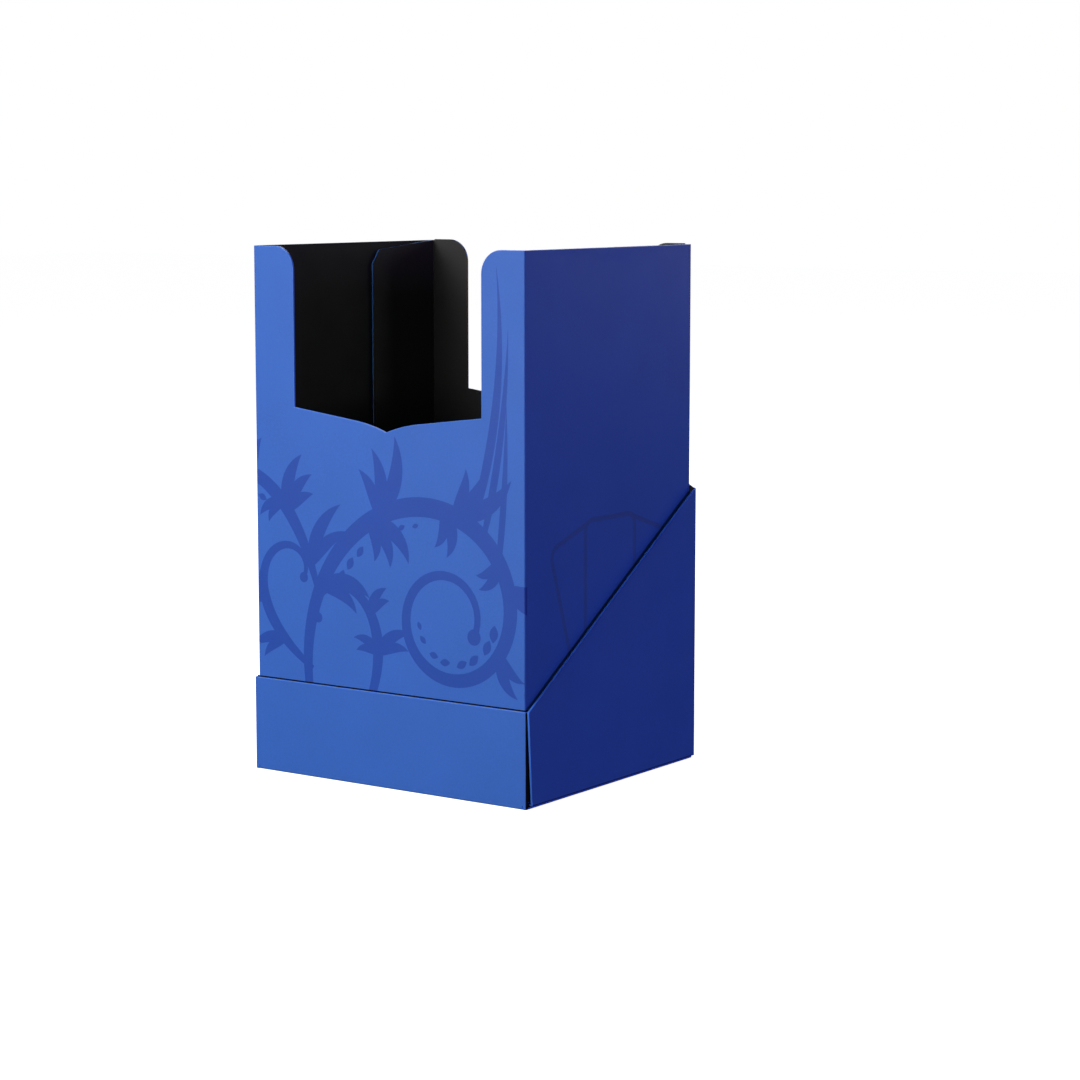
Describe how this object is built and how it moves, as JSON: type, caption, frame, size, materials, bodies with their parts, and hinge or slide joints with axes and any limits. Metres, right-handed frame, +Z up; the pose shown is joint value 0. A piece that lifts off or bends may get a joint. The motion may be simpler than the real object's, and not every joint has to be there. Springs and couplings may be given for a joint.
{
  "type": "card deck box",
  "caption": "Open box for a deck of trading cards, folded from thin two-ply plastic sheet, with a finger window front and back, standing in its own slant-sided lid.",
  "frame": {"origin": "on the lid's underside, on the middle plane of the box body, halfway between the body's front and back", "axes": "+Z up, along the way the box body lifts out of its lid; -Y is the front, where the lid's wall is low; +X is the right side panel"},
  "size_m": [0.0741, 0.0648, 0.1155],
  "materials": {
    "blue_sheet": "satin, very fine grain",
    "black_lining": "matt film",
    "adhesive_tape": "translucent double-sided tape"
  },
  "bodies": {
    "lid": {"lid_base_panel": "blue_sheet", "lid_front_panel": "blue_sheet", "lid_back_panel": "blue_sheet", "lid_left_panel": "blue_sheet", "lid_right_panel": "blue_sheet", "lid_glue_flap": "blue_sheet", "lid_left_dust_flap": "blue_sheet", "lid_right_dust_flap": "blue_sheet", "lid_rear_dust_flap": "blue_sheet", "lid_lining": "black_lining", "lid_seam_tape": "adhesive_tape", "lid_floor_tapes": "adhesive_tape"},
    "box": {"body_front_panel": "blue_sheet", "body_left_panel": "blue_sheet", "body_right_panel": "blue_sheet", "body_outer_floor": "blue_sheet", "body_left_dust_flap": "blue_sheet", "body_right_dust_flap": "blue_sheet", "body_wrap_lining": "black_lining", "body_back_panel": "blue_sheet", "body_left_glue_flap": "blue_sheet", "body_right_glue_flap": "blue_sheet", "body_inner_floor": "blue_sheet", "body_back_lining": "black_lining", "body_left_tape": "adhesive_tape", "body_right_tape": "adhesive_tape", "body_floor_tapes": "adhesive_tape"}
  },
  "joints": [
    {"name": "box_lift", "type": "slide", "parent": "lid", "child": "box", "axis": [0, 0, 1], "range_m": [0, 0.068]}
  ]
}
